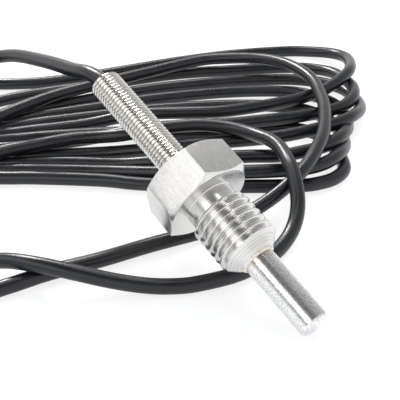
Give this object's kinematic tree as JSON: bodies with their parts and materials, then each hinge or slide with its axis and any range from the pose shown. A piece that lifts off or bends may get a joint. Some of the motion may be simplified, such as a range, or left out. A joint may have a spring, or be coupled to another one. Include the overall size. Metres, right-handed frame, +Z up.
{
  "type": "screw-in resistance temperature probe",
  "caption": "Screw-in temperature probe: closed steel tube, hexagon fitting with a male thread, coiled bend spring and a round cable laid in a loose hank.",
  "frame": {"origin": "centre of the probe's plan, on the surface that its tip and the hank lie on", "axes": "+X along the probe's plan toward its tip, +Z up"},
  "size_m": [0.1589, 0.1776, 0.0297],
  "materials": {
    "turned_steel": "turned and milled stainless steel with fine tool marks",
    "polished_steel": "polished drawn stainless steel tube",
    "weld_metal": "small weld ring with a brown heat tint",
    "spring_steel": "bright drawn stainless spring wire",
    "element_ceramic": "white ceramic body; stated as matte_plastic, as the list has no ceramic",
    "lead_wire": "bare silver-coloured wire",
    "crimp_metal": "tinned crimp",
    "shrink_sleeve": "matt black shrunk sleeve",
    "core_white": "smooth white insulation",
    "core_red": "smooth red insulation",
    "ceramic_filler": "packed pale powder and cement",
    "potting_resin": "dark cast resin",
    "tie_plastic": "smooth black strap",
    "cable_jacket": "black round cable jacket with a soft satin sheen"
  },
  "bodies": {
    "root": {"threaded_fitting": "turned_steel", "probe_tube": "polished_steel", "weld_bead": "weld_metal", "bend_spring": "spring_steel", "sensing_element": "element_ceramic", "element_lead_1": "lead_wire", "element_lead_2": "lead_wire", "splice_1": "crimp_metal", "splice_2": "crimp_metal", "splice_sleeve_1": "shrink_sleeve", "splice_sleeve_2": "shrink_sleeve", "inner_core_1": "core_white", "inner_core_2": "core_red", "thermal_filler": "ceramic_filler", "potting_seal": "potting_resin", "cable_in_spring": "cable_jacket", "cable_lead": "cable_jacket", "cable_hank": "cable_jacket", "cable_loop_inner": "cable_jacket", "cable_loop_front": "cable_jacket", "cable_tie": "tie_plastic", "cable_end_sleeve": "shrink_sleeve", "end_core_1": "core_white", "end_core_2": "core_red", "ferrule_1": "crimp_metal", "ferrule_2": "crimp_metal"}
  },
  "joints": []
}
